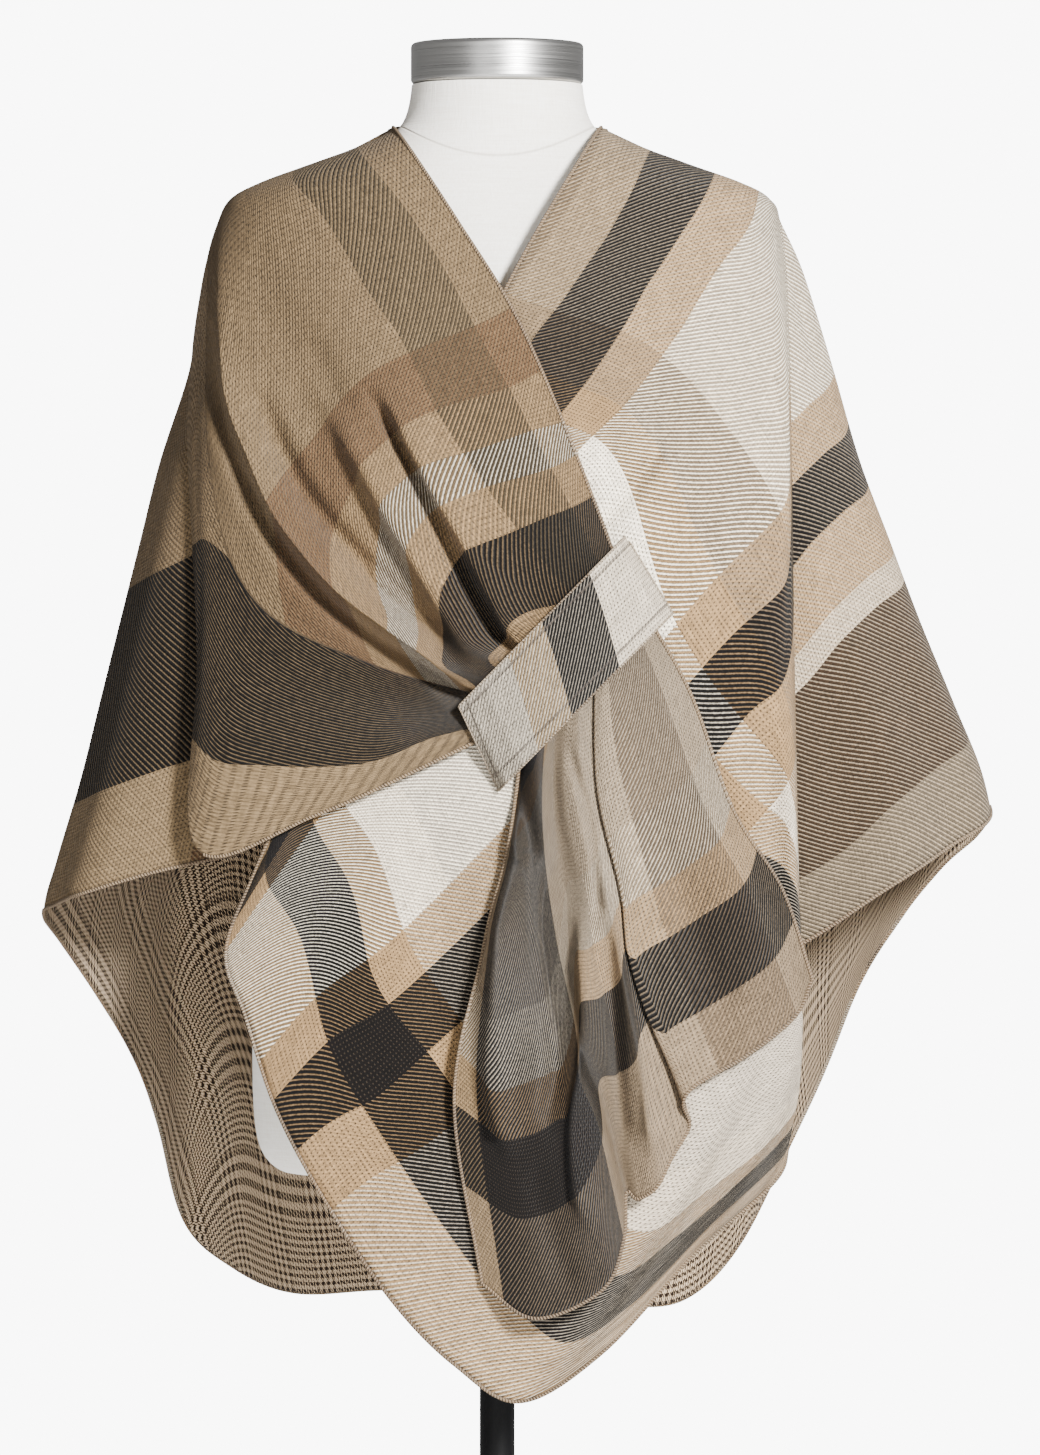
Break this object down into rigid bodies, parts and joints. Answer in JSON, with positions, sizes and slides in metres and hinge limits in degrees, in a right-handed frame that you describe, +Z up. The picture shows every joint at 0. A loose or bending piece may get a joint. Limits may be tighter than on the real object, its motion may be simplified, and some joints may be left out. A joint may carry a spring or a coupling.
{
  "type": "wrap shawl on a dress form",
  "caption": "Plaid wrap shawl draped on a limbless dress form with a pole stand; one front crosses over and is gathered through a loop strap.",
  "frame": {"origin": "centre of the flat underside of the base, on the floor under the pole's axis", "axes": "+Z up along the pole, the shawl's front toward -Y, +X to the viewer's right"},
  "size_m": [0.663, 0.36, 1.52],
  "materials": {
    "plaid_wool": "matte brushed plaid wool blend",
    "cream_linen": "matte linen stretched over the form",
    "brushed_steel": "circular brushed",
    "black_enamel": "satin black"
  },
  "bodies": {
    "root": {"base": "black_enamel", "pole": "black_enamel", "form_torso": "cream_linen", "neck_cap": "brushed_steel", "shawl_back": "plaid_wool", "shawl_left_sleeve": "plaid_wool", "shawl_right_sleeve": "plaid_wool", "shawl_left_front": "plaid_wool", "shawl_right_front": "plaid_wool", "shawl_tail": "plaid_wool", "loop_strap": "plaid_wool"}
  },
  "joints": []
}
